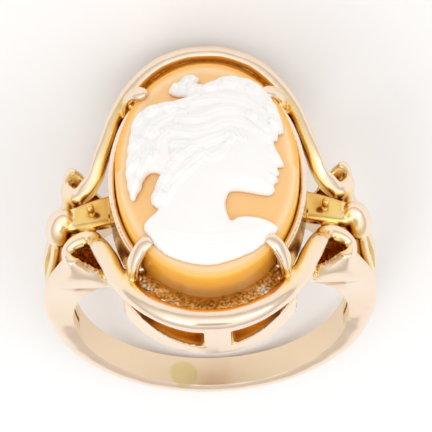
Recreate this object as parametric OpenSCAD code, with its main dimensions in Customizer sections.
// Cameo ring with split shoulders and a scrolled oval frame, lying on its side.
// Each piece is drawn with the finger hole along Y and the cameo facing +Z.
// lay_down() then turns the whole ring onto the surface it rests on.

/* [Finger hole] */
// Radius of the finger hole
finger_r = 7.85; // [7.2:0.05:8.6]

/* [Shank] */
// Width of the band at the bottom
shank_w = 1.9; // [1.5:0.1:2.6]
// Thickness of the band at the bottom
shank_t = 1.3; // [1:0.05:1.4]
// Width of the band where it reaches the gallery
shoulder_w = 5; // [4.6:0.1:5.4]
// Thickness of the band at the shoulders
shoulder_t = 1.5; // [1.3:0.05:1.7]
// Width of the split between the two arms
split_w = 1.7; // [1.4:0.1:2]
// Angle below the side where the split starts
split_start = 17; // [8:1:26]

/* [Shoulder arms] */
// Distance from the middle of the ring to the outside of an arm at its widest
arm_x = 9.42; // [9.3:0.02:9.6]
// Height of that widest place above the middle of the finger hole
arm_z = 2.8; // [2.4:0.1:3.2]
// Distance from the middle of the ring to the inner corner of an arm
inner_x = 5.3; // [5.1:0.05:5.5]
// Distance from the middle of the ring to the outside of an arm's head
head_x = 8.1; // [7.9:0.05:8.3]
// Half the distance over the front and the back heads
head_y = 3; // [2.8:0.05:3.2]
// Height of a head
head_z = 8.4; // [8.2:0.05:8.6]
// Thickness of the wall on the near side of the hollow in a head
web_t = 0.45; // [0.35:0.05:0.6]
// Distance from the middle of the ring to the crest of a scroll
crest_x = 6.75; // [6.6:0.05:6.9]
// Height of the crest of a scroll
crest_z = 8.2; // [8:0.05:8.4]
// Clear gap between the front and the back scrolls
crest_gap = 1.75; // [1.6:0.05:2]
// Width of the wire at the crest
crest_w = 0.95; // [0.8:0.05:1.1]
// Thickness of the wire at the crest
crest_t = 0.85; // [0.7:0.05:1]

/* [Frame] */
// Half the length of the frame, to the centre line of its wire
frame_y = 8.78; // [8.6:0.02:9.2]
// Half the width of the frame, to the centre line of its wire
frame_x = 5.8; // [5.7:0.05:6]
// Height of the centre line of the wire at both ends
frame_z = 11.45; // [11.2:0.05:11.7]
// Width of the frame wire
wire_w = 1.1; // [0.9:0.05:1.3]
// Height of the frame wire
wire_h = 1.05; // [0.9:0.05:1.3]

/* [Gallery] */
// Half the length of the lower rail
rail_y = 8.65; // [8.4:0.05:8.9]
// Half the width of the lower rail
rail_x = 5.75; // [5.6:0.05:5.9]
// Height of the lower rail above the finger hole at both ends
rail_h = 0.8; // [0.6:0.05:1]
// Distance from the middle of the ring to the start of the gallery
gallery_y = 5.1; // [4.8:0.1:5.5]
// Thickness of the gallery wall
gallery_t = 1; // [0.8:0.05:1.2]
// Width of the post between two windows
post_w = 1.5; // [1:0.1:2]
// Width of a window
window_w = 3.9; // [3:0.1:4.2]

/* [Seat] */
// Half the length of the cameo
cameo_y = 7.1; // [6.9:0.05:7.2]
// Half the width of the cameo
cameo_x = 5.05; // [4.9:0.05:5.1]
// Play between the cameo and its rim
cameo_play = 0.06; // [0.04:0.01:0.1]
// Thickness of the rim beside the cameo
rim_t = 0.35; // [0.3:0.05:0.4]
// Height of the ledge under the cameo
seat_z = 11; // [10.8:0.05:11.2]
// Height of the rim above the ledge
rim_h = 1.2; // [0.8:0.05:1.4]
// Thickness of the ledge
ledge_t = 1.7; // [1.4:0.05:1.9]
// Width of the ledge under the edge of the cameo
ledge_w = 0.9; // [0.7:0.05:1.2]
// Thickness of the floor at both ends of the cameo
floor_t = 0.6; // [0.5:0.05:0.8]

/* [Prongs] */
// Width of a prong
prong_w = 0.85; // [0.7:0.05:1]
// Thickness of a prong
prong_t = 0.6; // [0.5:0.05:0.7]
// Direction of a prong from the middle of the cameo, from its long axis
prong_angle = 44; // [42:1:48]
// How far a prong reaches over the cameo's edge
prong_reach = 0.5; // [0.3:0.05:0.6]

/* [Side knobs] */
// Distance from the middle of the ring to the centre of a knob
knob_x = 8.2; // [8:0.05:8.3]
// Height of the centre of a knob
knob_z = 7.6; // [7.4:0.05:7.8]
// Length of a knob from its stem to its tip
knob_l = 2.8; // [2.5:0.1:3]
// Width of a knob
knob_w = 1.72; // [1.5:0.02:1.8]
// Width of the middle bar that carries a knob
bar_w = 0.8; // [0.6:0.05:0.9]
// Radial thickness of that middle bar
bar_t = 0.8; // [0.6:0.05:0.9]
// Width of the bridge from a knob to the seat
bridge_w = 1.7; // [1.4:0.1:2]
// Radius of the round head of a peg
peg_r = 0.24; // [0.2:0.02:0.3]

/* [Cameo] */
// Thickness of the cameo at its edge
cameo_edge = 2.1; // [1.8:0.1:2.3]
// Rise of its dome
dome_rise = 1.3; // [1:0.1:1.5]
// Height of the carved bust over the dome
bust_depth = 0.35; // [0.25:0.05:0.45]
// Height of the carved head over the dome
head_depth = 0.5; // [0.4:0.05:0.6]
// Width of a lock of the carved hair
lock_w = 0.75; // [0.6:0.05:0.9]
// Gap between the two layers of the shell
layer_gap = 0.04; // [0.03:0.01:0.06]

/* [Hidden] */

bar_r = finger_r + 0.67 * shoulder_t;
bore_len = 24;
shank_sides = 12;
// How deep one soldered part reaches into the next
bite = 0.4;

// The ring rests on the end of its lower rail and on the edge of the band at the bottom
foot_y = shank_w / 2 * soft(cos(180 / shank_sides));
foot_z = finger_r + shank_t * (0.25 + 0.75 * soft(sin(180 / shank_sides)));
rest_tilt = atan2(rail_y - foot_y, finger_r + foot_z);
module lay_down() {
    rotate([0, 0, 180])
        rotate([rest_tilt - 90, 0, 0])
            children();
}

function unit(v) = v / norm(v);
function mix(a, b, share) = a + (b - a) * share;
function soft(v, power = 0.75) = sign(v) * pow(abs(v), power);

// One point of a smooth curve through p1 and p2
function bend(p0, p1, p2, p3, t) =
    0.5 * (2 * p1 + (p2 - p0) * t + (2 * p0 - 5 * p1 + 4 * p2 - p3) * t * t
    + (3 * p1 - p0 - 3 * p2 + p3) * t * t * t);
function smooth_rows(rows, steps) =
    let (last = len(rows) - 1)
    [
        for (i = [0:last - 1], k = [0:steps - 1])
            bend(rows[max(i - 1, 0)], rows[i], rows[i + 1], rows[min(i + 2, last)], k / steps),
        rows[last]
    ];

function place(row) = [row[0], row[1], row[2]];
function direction(rows, i) = unit(place(rows[min(i + 1, len(rows) - 1)]) - place(rows[max(i - 1, 0)]));

// A band along rows of [x, y, z, width, thickness, lean]. The thickness points away from the
// finger where lean is 1, and straight up where it is 0.
module band(rows, sides = 10, power = 0.75) {
    stations = len(rows);
    points = [
        for (i = [0:stations - 1])
            let (
                along = direction(rows, i),
                row = rows[i],
                up = unit([row[0] * row[5], 0, abs(row[2]) > 0.01 || row[5] > 0 ? row[2] : 1]),
                side = unit(cross(along, up)),
                top = cross(side, along)
            )
            for (k = [0:sides - 1])
                let (a = 360 * (k + 0.5) / sides)
                place(row) + side * row[3] / 2 * soft(cos(a), power) + top * row[4] / 2 * soft(sin(a), power)
    ];
    skin = [
        for (i = [0:stations - 2], k = [0:sides - 1])
            let (next = (k + 1) % sides)
            [i * sides + k, i * sides + next, (i + 1) * sides + next, (i + 1) * sides + k]
    ];
    ends = [
        [for (k = [0:sides - 1]) sides - 1 - k],
        [for (k = [0:sides - 1]) (stations - 1) * sides + k]
    ];
    polyhedron(points, concat(skin, ends), convexity = 8);
}

// Both halves of a band that is the same on the left and on the right
function left_of(row) = [-row[0], row[1], row[2], row[3], row[4], row[5]];
function both_sides(rows) =
    let (last = len(rows) - 1)
    concat(rows, [for (i = [1:last]) left_of(rows[last - i])]);

// Band round the finger: angle above the side, share of the widening and of the thickening
SHANK = [
    [-90, 0, 0],
    [-62, 0, 0.1],
    [-35, 0.02, 0.4],
    [-12, 0.1, 0.8],
    [8, 0.2, 0.95],
    [21, 0.4, 0.8],
    [33, 0.72, 0.55],
    [43, 1, 0.3],
    [51, 1.35, 0.1]
];
function shank_row(row) =
    let (
        t = mix(shank_t, shoulder_t, row[2]),
        r = finger_r + 0.25 * t
    )
    [r * cos(row[0]), 0, r * sin(row[0]), mix(shank_w, shoulder_w, row[1]), 1.5 * t, 1];
module shank() {
    half = [for (i = [len(SHANK) - 1:-1:0]) shank_row(SHANK[i])];
    band(smooth_rows(both_sides(half), 4), shank_sides);
}

// The split between the arms, open to the outside and pointed below
module split() {
    low_z = -finger_r * sin(split_start);
    wide_z = mix(low_z, arm_z, 0.6);
    for (side = [-1, 1])
        translate([side * finger_r, 0, 0])
            rotate([90, 0, 90])
                translate([0, 0, -0.4 * finger_r])
                    linear_extrude(finger_r)
                        polygon([
                            [0, low_z],
                            [split_w / 2, wide_z],
                            [split_w / 2, finger_r],
                            [-split_w / 2, finger_r],
                            [-split_w / 2, wide_z]
                        ]);
}

// Skin through loops of as many points each, from the lowest loop to the highest, with flat ends
module stack(loops) {
    n = len(loops[0]);
    last = len(loops) - 1;
    skin = [
        for (j = [0:last - 1], i = [0:n - 1])
            let (next = (i + 1) % n)
            [j * n + i, (j + 1) * n + i, (j + 1) * n + next, j * n + next]
    ];
    ends = [
        [for (i = [0:n - 1]) i],
        [for (i = [0:n - 1]) last * n + n - 1 - i]
    ];
    polyhedron([for (loop = loops) for (p = loop) p], concat(skin, ends), convexity = 6);
}

// A level loop from x0 to x1 and from y0 to y1, an oval where power is 1 and squarer below that
function level_loop(x0, x1, y0, y1, z, power, n) = [
    for (i = [0:n - 1])
        let (a = 360 * (i + 0.5) / n)
        [
            mix(x0, x1, (1 + soft(cos(a), power)) / 2),
            mix(y0, y1, (1 + soft(sin(a), power)) / 2),
            z
        ]
];

// An arm in level slices: share of its height, its inner and its outer side as shares of the way from
// the inner corner to the widest place, its near side as a share of half the split, its far side as a
// share of the head's, and how round it is
gap_y = split_w / 2;
ARM = [
    [-0.22, 0.5, 0.86, 0.12, 0.34, 0],
    [-0.02, 0.45, 0.97, 0.2, 0.4, 0],
    [0.16, 0.4, 1, 0.55, 0.46, 0],
    [0.33, 0.35, 1, 0.98, 0.54, 0.05],
    [0.45, 0.15, 0.96, 1, 0.64, 0.1],
    [0.56, -0.05, 0.9, 1, 0.75, 0.2],
    [0.64, -0.1, 0.84, 1, 0.87, 0.3],
    [0.7, 0.02, 0.79, 1, 0.93, 0.4],
    [0.78, 0.12, 0.73, 1.05, 0.98, 0.5],
    [0.85, 0.2, 0.69, 1.15, 1, 0.6],
    [0.93, 0.33, 0.68, 1.3, 1, 0.8],
    [1, 0.46, 0.66, 1.6, 0.98, 1]
];
module arm() {
    stack([
        for (row = smooth_rows(ARM, 2))
            level_loop(
                mix(inner_x, arm_x, row[1]), mix(inner_x, arm_x, row[2]),
                row[3] * gap_y, row[4] * head_y, row[0] * head_z,
                mix(0.4, 0.95, row[5]), 14
            )
    ]);
}

// The hollow in the head of an arm: share of the head's height, share of the hollow's width
WELL = [[0.74, 0.5], [0.8, 0.9], [1.2, 1]];
module well() {
    middle_x = (inner_x + head_x) / 2;
    half_x = 0.3 * (head_x - inner_x);
    near_y = gap_y + web_t;
    far_y = head_y - bite;
    stack([
        for (row = WELL)
            level_loop(
                middle_x - row[1] * half_x, middle_x + row[1] * half_x,
                mix((near_y + far_y) / 2, near_y, row[1]), mix((near_y + far_y) / 2, far_y, row[1]),
                row[0] * head_z, 0.75, 12
            )
    ]);
}

// The thin wall on the near side of that hollow: shares of the way from the inner corner to the outside
// of the head, and of the head's height
WEB = [[0, 0.64], [0.2, 0.83], [0.4, 0.98], [0.75, 0.96], [0.85, 0.7]];
module web() {
    translate([0, gap_y + web_t, 0])
        rotate([90, 0, 0])
            linear_extrude(0.9 * web_t)
                polygon([for (row = WEB) [mix(inner_x, head_x, row[0]), row[1] * head_z]]);
}
module arms() {
    for (side = [0, 1], end = [0, 1])
        mirror([side, 0, 0])
            mirror([0, end, 0]) {
                difference() {
                    arm();
                    well();
                }
                web();
            }
}

// The wire over the crest of a scroll: places across, along and up from the crest as shares of its
// width there, width, height, lean
crest_y = (crest_gap + crest_w) / 2;
CURL = [
    [0.79, 0.63, -1.68, 0.95, 0.6, 1],
    [0.95, 0.61, -0.95, 1.21, 0.88, 1],
    [0.88, 0.48, -0.26, 1.16, 1, 0.9],
    [0.53, 0.19, 0.11, 1.05, 1, 0.8],
    [0.02, 0, 0.21, 1, 1, 0.6],
    [-0.38, 0.21, 0.44, 1, 1, 0.4],
    [-0.61, 0.79, 0.89, 1.03, 1, 0.2]
];
// From there to the end of the frame: shares of the frame's half width, half length and of the climb
// from the crest to its top, width and height
RISE = [
    [1.025, 0.33, 0.48, 0.98, 0.85],
    [0.94, 0.468, 0.63, 1, 0.9],
    [0.868, 0.597, 0.72, 1, 1],
    [0.71, 0.765, 0.85, 1, 1],
    [0.48, 0.91, 0.95, 1, 1],
    [0.22, 0.985, 0.99, 1, 1],
    [0, 1, 1, 1, 1]
];
function curl_rows() = [
    for (row = CURL)
        [crest_x + row[0] * crest_w, crest_y + row[1] * crest_w, crest_z + row[2] * crest_w,
            row[3] * crest_w, row[4] * crest_t, row[5]]
];
function rise_rows() = [
    for (row = RISE)
        [row[0] * frame_x, row[1] * frame_y, mix(crest_z, frame_z, row[2]), row[3] * wire_w, row[4] * wire_h, 0]
];
module frame_half() {
    mirror([0, 1, 0])
        band(smooth_rows(both_sides(concat(curl_rows(), rise_rows())), 3), 10);
}

// Points of an oval, by its half width and half length
function oval(x, y, n = 64) = [for (i = [0:n - 1]) [x * cos(360 * i / n), y * sin(360 * i / n)]];
function lift(loop, z) = [for (p = loop) [p[0], p[1], z]];

// Section of the gallery's wall: share of the way up from the rail to the frame, and how far its outer
// face stands out, as a share of the wall's thickness
WALL = [[-0.6, 0], [0, 0], [0.5, 0.18], [0.88, 0.44], [0.97, 0.44]];
function wall_loop(top) =
    let (
        reach = abs(top[1]) / frame_y,
        edge_x = (top[0] < 0 ? -1 : 1) * rail_x * sqrt(max(1 - reach * reach, 0)),
        inward = -gallery_t * unit([top[0] / frame_x / frame_x, top[1] / frame_y / frame_y]),
        outer = [
            for (row = WALL)
                let (up = max(row[0], 0))
                [
                    mix(edge_x, top[0], up) - row[1] * inward[0],
                    mix(rail_y * reach, top[1], up) - row[1] * inward[1],
                    mix(finger_r, top[2], row[0])
                ]
        ],
        last = len(outer) - 1
    )
    concat([for (p = outer) p + [inward[0], inward[1], 0]], [for (i = [0:last]) outer[last - i]]);

// The wall under one end of the frame, with two windows, down to the finger hole
module gallery() {
    low_z = finger_r + rail_h;
    high_z = frame_z - 0.5 * wire_h;
    difference() {
        stack([for (top = smooth_rows(both_sides(rise_rows()), 3)) wall_loop(top)]);
        for (side = [-1, 1])
            translate([side * (post_w + window_w) / 2 - window_w / 2, 0.5 * rail_y, low_z])
                cube([window_w, rail_y, high_z - low_z]);
        rotate([90, 0, 90])
            translate([0, 0, -2 * frame_x])
                linear_extrude(4 * frame_x)
                    polygon([
                        [0, 0],
                        [1.1 * gallery_y, 0],
                        [0.9 * gallery_y, crest_z],
                        [0.9 * gallery_y, 2 * frame_z],
                        [0, 2 * frame_z]
                    ]);
    }
}

// Ledge under the cameo, with a rim along both of its sides
end_y = 0.58 * frame_y;
module seat() {
    inner_x = cameo_x + cameo_play;
    inner_y = cameo_y + cameo_play;
    difference() {
        translate([0, 0, seat_z - ledge_t])
            linear_extrude(ledge_t + rim_h)
                polygon(oval(inner_x + rim_t, inner_y + rim_t));
        translate([0, 0, seat_z])
            linear_extrude(2 * rim_h)
                polygon(oval(inner_x, inner_y));
        translate([0, 0, seat_z - 2 * ledge_t])
            linear_extrude(4 * ledge_t)
                polygon(oval(inner_x - ledge_w, inner_y - ledge_w));
        for (end = [0, 1])
            mirror([0, end, 0])
                translate([-2 * frame_x, end_y, seat_z])
                    cube([4 * frame_x, end_y, 2 * rim_h]);
    }
}

// Middle bar of a shoulder, which swells into a teardrop knob.
// Knob: share of its half length up, share of its width
KNOB = [
    [-0.98, 0.42],
    [-0.8, 0.66],
    [-0.45, 0.92],
    [0, 1],
    [0.4, 0.93],
    [0.75, 0.68],
    [0.95, 0.32],
    [1, 0.08]
];
function knob_rows() = concat(
    [
        [bar_r * cos(30), 0, -bar_r * sin(30), 0.8 * bar_w, 0.5 * bar_t, 1],
        [bar_r + 0.1 * bar_t, 0, 0, bar_w, bar_t, 1],
        [mix(arm_x, knob_x, 0.38), 0, 0.8 * arm_z, bar_w, bar_t, 1],
        [mix(arm_x, knob_x, 0.66), 0, mix(arm_z, knob_z, 0.33), bar_w, bar_t, 1]
    ],
    [
        for (row = KNOB)
            [mix(knob_x, 0.97 * knob_x, row[0]), 0, knob_z + row[0] * knob_l / 2, row[1] * knob_w,
                row[1] * knob_w, 1]
    ]
);
module knobs() {
    for (side = [0, 1])
        mirror([side, 0, 0])
            band(smooth_rows(knob_rows(), 2), 10, 0.9);
}

// Bridge from a knob to the seat, with a peg on it
bridge_in_z = seat_z - ledge_t - 0.1 * bar_t;
bridge_out_z = knob_z + 0.18 * knob_l;
module bridges() {
    rim_x = cameo_x + rim_t;
    peg_h = 1.1 * bar_t;
    for (side = [0, 1])
        mirror([side, 0, 0]) {
            band([
                [rim_x - bite, 0, bridge_in_z, 1.15 * bridge_w, 0.9 * bar_t, 0],
                [mix(rim_x, knob_x, 0.45), 0, mix(bridge_in_z, bridge_out_z, 0.55), bridge_w, 0.9 * bar_t, 0],
                [knob_x - 0.2 * knob_w, 0, bridge_out_z, 0.8 * bridge_w, 0.9 * bar_t, 0]
            ], 12, 0.4);
            translate([mix(rim_x, knob_x, 0.4), 0, mix(bridge_in_z, bridge_out_z, 0.5)]) {
                cylinder(r = 0.6 * peg_r, h = peg_h, $fn = 16);
                translate([0, 0, peg_h])
                    sphere(r = peg_r, $fn = 24);
            }
        }
}

// Floor between the cameo and the frame at both ends
module end_floors() {
    translate([0, 0, seat_z - floor_t])
        linear_extrude(floor_t)
            difference() {
                polygon(oval(frame_x, frame_y - 0.2 * wire_w));
                polygon(oval(cameo_x, cameo_y));
                square([4 * frame_x, 2 * end_y], center = true);
            }
}

// A claw from the seat over the edge of the cameo, with room added all round it
module prong(room = 0) {
    edge_x = cameo_x * sin(prong_angle);
    edge_y = cameo_y * cos(prong_angle);
    out = unit([edge_x / cameo_x / cameo_x, edge_y / cameo_y / cameo_y]);
    foot = cameo_play + rim_t + 0.6 * prong_t;
    edge_top = seat_z + cameo_edge;
    // Distance outside the edge, height, shares of the width and of the thickness
    steps = [
        [foot, seat_z - ledge_t, 1, 1],
        [1.05 * foot, seat_z + 0.3 * cameo_edge, 1, 1],
        [0.85 * foot, edge_top - 0.3 * cameo_edge, 1, 1],
        [0.25 * foot, edge_top + 0.1 * dome_rise, 0.95, 0.9],
        [-0.6 * prong_reach, edge_top + 0.28 * dome_rise, 0.85, 0.75],
        [-0.95 * prong_reach, edge_top + 0.32 * dome_rise, 0.4, 0.35]
    ];
    band(smooth_rows([
        for (row = steps)
            [
                edge_x + out[0] * row[0], edge_y + out[1] * row[0], row[1],
                prong_w * row[2] + 2 * room, prong_t * row[3] + 2 * room, 0.3
            ]
    ], 2), 8);
}
module prongs(room = 0) {
    for (side = [0, 1], end = [0, 1])
        mirror([side, 0, 0])
            mirror([0, end, 0])
                prong(room);
}

module gold_mount() {
    color("#e3bd82")
        difference() {
            union() {
                difference() {
                    shank();
                    split();
                }
                arms();
                frame_half();
                mirror([0, 1, 0])
                    frame_half();
                gallery();
                mirror([0, 1, 0])
                    gallery();
                seat();
                end_floors();
                knobs();
                bridges();
                prongs();
            }
            rotate([90, 0, 0])
                cylinder(r = finger_r, h = bore_len, center = true, $fn = 96);
        }
}

// Height of the dome over the middle of the finger hole, at a share of the way to its edge
function dome_z(share) = seat_z + cameo_edge + dome_rise * (1 - pow(min(share, 1), 2.2));
DOME = [1, 0.97, 0.9, 0.78, 0.62, 0.42, 0.2];

// Domed oval slab that reaches up to the dome, raised by more
module dome_slab(low_z, more, grow = 1, n = 48) {
    stack(concat(
        [lift(oval(cameo_x * grow, cameo_y * grow, n), low_z)],
        [
            for (share = DOME)
                lift(oval(cameo_x * grow * share, cameo_y * grow * share, n), dome_z(share) + more)
        ]
    ));
}

module cameo_ground() {
    color("#eda868")
        difference() {
            dome_slab(seat_z, 0);
            prongs(layer_gap);
        }
}

// Outline of the carved lady, as shares of the cameo's half width and half length
HAIR_FRONT = [[0.1, 0.73], [0.27, 0.79], [0.54, 0.75], [0.7, 0.62], [0.8, 0.45], [0.84, 0.28]];
FACE = [
    [0.78, 0.23], [0.77, 0.18], [0.73, 0.13], [0.85, -0.05], [0.76, -0.085], [0.78, -0.14],
    [0.74, -0.17], [0.765, -0.2], [0.715, -0.245], [0.72, -0.3], [0.62, -0.345], [0.28, -0.335]
];
NECK = [[0.2, -0.4], [0.19, -0.47], [0.21, -0.54], [0.25, -0.58], [0.34, -0.55], [0.5, -0.54], [0.66, -0.56]];
BUST = [
    [0.74, -0.61], [0.6, -0.73], [0.44, -0.82], [0.17, -0.9], [-0.05, -0.92], [-0.32, -0.87],
    [-0.53, -0.77], [-0.69, -0.57]
];
HAIR_BACK = [
    [-0.54, -0.46], [-0.6, -0.4], [-0.59, -0.32], [-0.5, -0.17], [-0.54, -0.13], [-0.66, -0.14],
    [-0.73, -0.25], [-0.81, -0.32], [-0.87, -0.08], [-0.85, 0.1], [-0.83, 0.22], [-0.76, 0.44],
    [-0.6, 0.51]
];
FLOWER = [
    [-0.23, 0.53], [-0.2, 0.58], [-0.36, 0.66], [-0.35, 0.72], [-0.22, 0.7], [-0.16, 0.79],
    [-0.08, 0.76], [-0.08, 0.67], [0, 0.66]
];
// Locks of hair, each as the places that it passes
LOCKS = [
    [[0.72, 0.36], [0.55, 0.6], [0.25, 0.7], [-0.05, 0.6], [-0.3, 0.45], [-0.6, 0.42]],
    [[0.7, 0.22], [0.5, 0.4], [0.25, 0.5], [-0.05, 0.42], [-0.35, 0.28], [-0.68, 0.24]],
    [[0.5, 0.1], [0.35, 0.24], [0.1, 0.3], [-0.15, 0.2], [-0.4, 0.08], [-0.7, 0.06]],
    [[-0.72, 0.36], [-0.78, 0.12], [-0.76, -0.06], [-0.78, -0.26]],
    [[-0.2, 0.05], [-0.4, -0.04], [-0.5, -0.16], [-0.5, -0.32]]
];
function on_cameo(shares) = [shares[0] * cameo_x, shares[1] * cameo_y];
function closed_curve(points, steps) =
    let (n = len(points))
    [
        for (i = [0:n - 1], k = [0:steps - 1])
            bend(points[(i + n - 1) % n], points[i], points[(i + 1) % n], points[(i + 2) % n], k / steps)
    ];
module figure() {
    outline = concat(HAIR_FRONT, FACE, NECK, BUST, HAIR_BACK, FLOWER);
    polygon(closed_curve([for (p = outline) on_cameo(p)], 2));
}

// A lock lies on the head like a thin band with a rounded back
module lock_of_hair(route) {
    last = len(route) - 1;
    band(smooth_rows([
        for (i = [0:last])
            let (
                p = on_cameo(route[i]),
                share = norm(route[i]),
                w = lock_w * (i == 0 || i == last ? 0.4 : 1)
            )
            [p[0], p[1], dome_z(share) + head_depth, w, 0.4 * w, 0]
    ], 3), 8);
}

module cameo_relief() {
    low_z = seat_z + cameo_edge;
    color("#f7efe8")
        difference() {
            union() {
                intersection() {
                    dome_slab(low_z - dome_rise, bust_depth);
                    translate([0, 0, low_z - dome_rise])
                        linear_extrude(4 * dome_rise)
                            figure();
                }
                intersection() {
                    dome_slab(low_z - dome_rise, head_depth);
                    translate([0, 0, low_z - dome_rise])
                        linear_extrude(4 * dome_rise)
                            intersection() {
                                figure();
                                translate([-cameo_x, -0.34 * cameo_y])
                                    square([2 * cameo_x, 2 * cameo_y]);
                            }
                }
                for (route = LOCKS)
                    lock_of_hair(route);
            }
            dome_slab(seat_z, layer_gap, 1 + layer_gap);
            prongs(layer_gap);
        }
}

lay_down() gold_mount();
lay_down() cameo_ground();
lay_down() cameo_relief();
